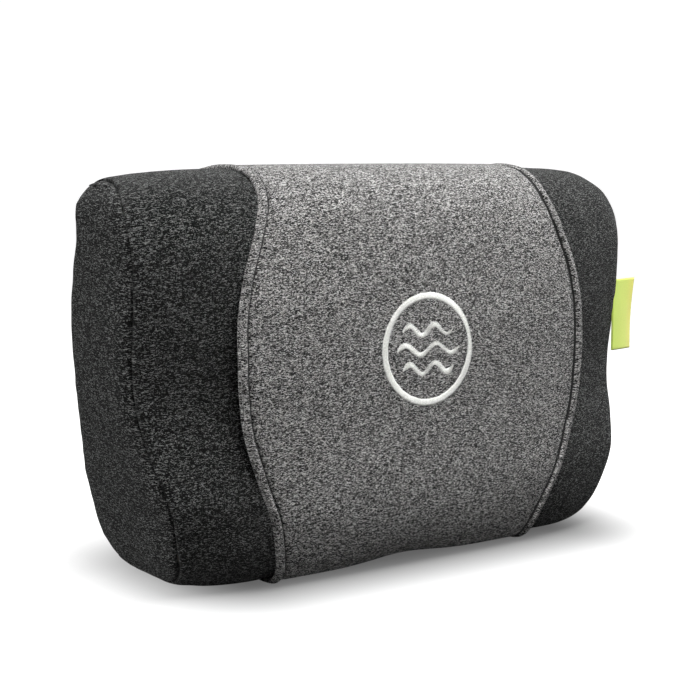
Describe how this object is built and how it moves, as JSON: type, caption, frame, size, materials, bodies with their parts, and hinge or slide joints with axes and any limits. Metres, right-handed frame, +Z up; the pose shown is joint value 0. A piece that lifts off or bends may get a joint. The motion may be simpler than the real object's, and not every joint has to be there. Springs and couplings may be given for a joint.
{
  "type": "massage pillow",
  "caption": "Knit-covered massage pillow with a draped front flap, twin rotating massage heads inside, worm drive, back zip and an end control with charge inlet.",
  "frame": {"origin": "on the flat of the underside, midway between the ends", "axes": "+X to the end with the ribbon tab, -Y to the front with the flap, +Z up"},
  "size_m": [0.3706, 0.1231, 0.2319],
  "materials": {
    "dark_knit": "matte",
    "light_knit": "matte",
    "flap_lining": "matte",
    "mesh_lining": "matte",
    "embroidery": "satin",
    "ribbon": "satin",
    "hook_and_loop": "matte",
    "zip_tape": "matte",
    "zip_metal": "satin",
    "foam": "matte",
    "black_plastic": "satin",
    "gear_plastic": "satin",
    "node_plastic": "satin",
    "steel": "satin",
    "magnet": "matte",
    "copper_winding": "satin",
    "bronze": "satin",
    "cell_wrap": "gloss",
    "board": "satin",
    "component": "matte",
    "button_gloss": "satin",
    "lens": "gloss",
    "lead": "satin"
  },
  "bodies": {
    "pillow": {"battery_cells": "cell_wrap", "battery_leads": "lead", "battery_tray": "black_plastic", "board_components": "component", "button_spring": "steel", "charge_jack": "component", "control_bezel": "black_plastic", "control_board": "board", "control_lead": "lead", "cover_back_panel": "dark_knit", "cover_front_panel": "dark_knit", "cover_loop_strip": "hook_and_loop", "end_panel_left": "dark_knit", "end_panel_right": "dark_knit", "flap_top_panel": "light_knit", "foam_back_pad": "foam", "foam_bottom": "foam", "foam_end_left": "foam", "foam_end_right": "foam", "foam_front_frame": "foam", "foam_top": "foam", "housing_front_frame": "black_plastic", "housing_rear_shell": "black_plastic", "housing_screws": "steel", "motor_can": "steel", "motor_clamp": "steel", "motor_clamp_screws": "steel", "motor_end_cap": "black_plastic", "motor_leads": "lead", "motor_magnets": "magnet", "shaft_bushes_left": "bronze", "shaft_bushes_right": "bronze", "side_tab": "ribbon", "status_light_lens": "lens", "switch_board": "board", "window_mesh_lining": "mesh_lining", "worm_end_bush": "bronze", "zipper_tape": "zip_tape"},
    "flap": {"flap_front_panel": "light_knit", "flap_lining": "flap_lining", "flap_emblem": "embroidery", "flap_hook_strip": "hook_and_loop"},
    "zip_slider": {"zipper_slider": "zip_metal"},
    "zip_pull": {"zipper_pull": "zip_metal"},
    "motor_rotor": {"motor_armature": "copper_winding", "motor_shaft": "steel", "worm": "steel"},
    "head_left": {"worm_wheel_left": "gear_plastic", "head_shaft_left": "steel", "massage_arm_left": "black_plastic", "node_screws_left": "steel"},
    "head_right": {"worm_wheel_right": "gear_plastic", "head_shaft_right": "steel", "massage_arm_right": "black_plastic", "node_screws_right": "steel"},
    "node_left_a": {"massage_node_left_a": "node_plastic"},
    "node_left_b": {"massage_node_left_b": "node_plastic"},
    "node_right_a": {"massage_node_right_a": "node_plastic"},
    "node_right_b": {"massage_node_right_b": "node_plastic"},
    "button": {"power_button": "button_gloss"}
  },
  "joints": [
    {"name": "flap_lift", "type": "hinge", "parent": "pillow", "child": "flap", "pos_m": [0, -0.0533, 0.205], "axis": [-1, 0, 0], "range_deg": [0, 165]},
    {"name": "zip_slide", "type": "slide", "parent": "pillow", "child": "zip_slider", "axis": [-1, 0, 0], "range_m": [0, 0.22]},
    {"name": "zip_pull_swing", "type": "hinge", "parent": "zip_slider", "child": "zip_pull", "pos_m": [0.11, 0.058, 0.033], "axis": [0, 1, 0], "range_deg": [-80, 80]},
    {"name": "head_left_turn", "type": "hinge", "parent": "pillow", "child": "head_left", "pos_m": [-0.055, 0.014, 0.115], "axis": [0, 1, 0], "continuous": true},
    {"name": "head_right_turn", "type": "hinge", "parent": "pillow", "child": "head_right", "pos_m": [0.055, 0.014, 0.115], "axis": [0, 1, 0], "continuous": true},
    {"name": "motor_spin", "type": "hinge", "parent": "pillow", "child": "motor_rotor", "pos_m": [0, 0.014, 0.065], "axis": [0, 0, 1], "continuous": true},
    {"name": "node_left_a_spin", "type": "hinge", "parent": "head_left", "child": "node_left_a", "pos_m": [-0.085, -0.0215, 0.115], "axis": [0, 1, 0], "continuous": true},
    {"name": "node_left_b_spin", "type": "hinge", "parent": "head_left", "child": "node_left_b", "pos_m": [-0.025, -0.0215, 0.115], "axis": [0, 1, 0], "continuous": true},
    {"name": "node_right_a_spin", "type": "hinge", "parent": "head_right", "child": "node_right_a", "pos_m": [0.025, -0.0215, 0.115], "axis": [0, 1, 0], "continuous": true},
    {"name": "node_right_b_spin", "type": "hinge", "parent": "head_right", "child": "node_right_b", "pos_m": [0.085, -0.0215, 0.115], "axis": [0, 1, 0], "continuous": true},
    {"name": "button_press", "type": "slide", "parent": "pillow", "child": "button", "axis": [-1, 0, 0], "range_m": [0, 0.0015], "stiffness_N_per_m": 1200, "deforming": ["button_spring"]}
  ],
  "couplings": [
    {"joint": "head_right_turn", "follows": "head_left_turn", "ratio": -1},
    {"joint": "motor_spin", "follows": "head_left_turn", "ratio": 64}
  ]
}
